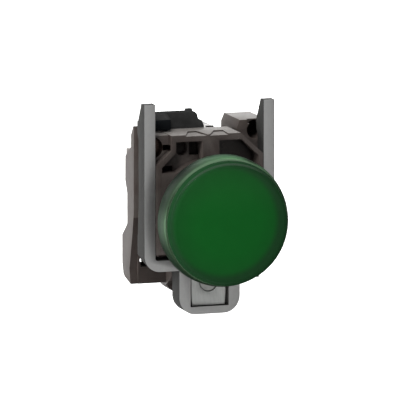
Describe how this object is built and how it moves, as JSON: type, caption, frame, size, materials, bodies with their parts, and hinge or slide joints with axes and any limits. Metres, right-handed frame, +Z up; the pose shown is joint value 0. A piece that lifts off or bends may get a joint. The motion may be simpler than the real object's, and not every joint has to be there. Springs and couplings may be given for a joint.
{
  "type": "panel pilot light",
  "caption": "Round pilot light for a 22 mm panel hole: metal bezel, green lens, clamp-frame fixing collar with locking lever, and an LED block with screw terminals.",
  "frame": {"origin": "on the head's axis, where the back of the bezel meets the front of the panel", "axes": "+X to the right seen from the front, +Y from the panel's front to the rear, +Z up"},
  "size_m": [0.03, 0.0501, 0.0472],
  "materials": {
    "satin_zinc": "satin, turned",
    "green_lens": "gloss, translucent",
    "black_rubber": "matte",
    "opal_plastic": "matte",
    "collar_plastic": "satin, moulded",
    "black_plastic": "satin, moulded",
    "black_steel": "blackened",
    "bare_zinc": "bare die-cast zinc",
    "plated_steel": "zinc plated",
    "grey_plastic": "satin, moulded",
    "dark_plastic": "satin, moulded",
    "lamp_epoxy": "clear",
    "board_green": "solder mask",
    "resistor_lacquer": "lacquer",
    "capacitor_sleeve": "shrunk sleeve",
    "brass": "stamped"
  },
  "bodies": {
    "lamp": {"bezel_body": "satin_zinc", "lens": "green_lens", "lens_seal": "black_rubber", "diffuser": "opal_plastic", "panel_gasket": "black_rubber", "collar_body": "collar_plastic", "ring_retainer": "black_steel", "clamp_nut": "plated_steel", "block_housing": "grey_plastic", "block_cover": "dark_plastic", "reflector": "opal_plastic", "led_lamp": "lamp_epoxy", "circuit_board": "board_green", "dropper_resistor": "resistor_lacquer", "smoothing_capacitor": "capacitor_sleeve", "contact_bar_upper": "brass", "contact_bar_lower": "brass"},
    "clamp": {"clamp_frame": "bare_zinc", "clamp_plate": "plated_steel"},
    "clamp_screw": {"clamp_screw": "plated_steel"},
    "lever": {"locking_lever": "black_plastic"},
    "saddle_upper": {"wire_clamp_upper": "plated_steel"},
    "terminal_upper": {"terminal_screw_upper": "plated_steel"},
    "saddle_lower": {"wire_clamp_lower": "plated_steel"},
    "terminal_lower": {"terminal_screw_lower": "plated_steel"}
  },
  "joints": [
    {"name": "clamp_slide", "type": "slide", "parent": "lamp", "child": "clamp", "axis": [0, -1, 0], "range_m": [0, 0.0064]},
    {"name": "clamp_screw_turn", "type": "hinge", "parent": "clamp", "child": "clamp_screw", "pos_m": [0, 0.0301, -0.0154], "axis": [0, -1, 0], "range_deg": [0, 3295]},
    {"name": "lever_turn", "type": "hinge", "parent": "lamp", "child": "lever", "pos_m": [0, 0.0197, 0], "axis": [0, 1, 0], "range_deg": [0, 18]},
    {"name": "saddle_upper_slide", "type": "slide", "parent": "lamp", "child": "saddle_upper", "axis": [0, -1, 0], "range_m": [0, 0.0028]},
    {"name": "terminal_upper_turn", "type": "hinge", "parent": "saddle_upper", "child": "terminal_upper", "pos_m": [0, 0.0385, 0.0116], "axis": [0, -1, 0], "range_deg": [0, 2020]},
    {"name": "saddle_lower_slide", "type": "slide", "parent": "lamp", "child": "saddle_lower", "axis": [0, -1, 0], "range_m": [0, 0.0028]},
    {"name": "terminal_lower_turn", "type": "hinge", "parent": "saddle_lower", "child": "terminal_lower", "pos_m": [0, 0.0385, -0.0073], "axis": [0, -1, 0], "range_deg": [0, 2020]}
  ],
  "couplings": [
    {"joint": "clamp_screw_turn", "follows": "clamp_slide", "rad_per_m": 8976},
    {"joint": "terminal_upper_turn", "follows": "saddle_upper_slide", "rad_per_m": 12566},
    {"joint": "terminal_lower_turn", "follows": "saddle_lower_slide", "rad_per_m": 12566}
  ]
}
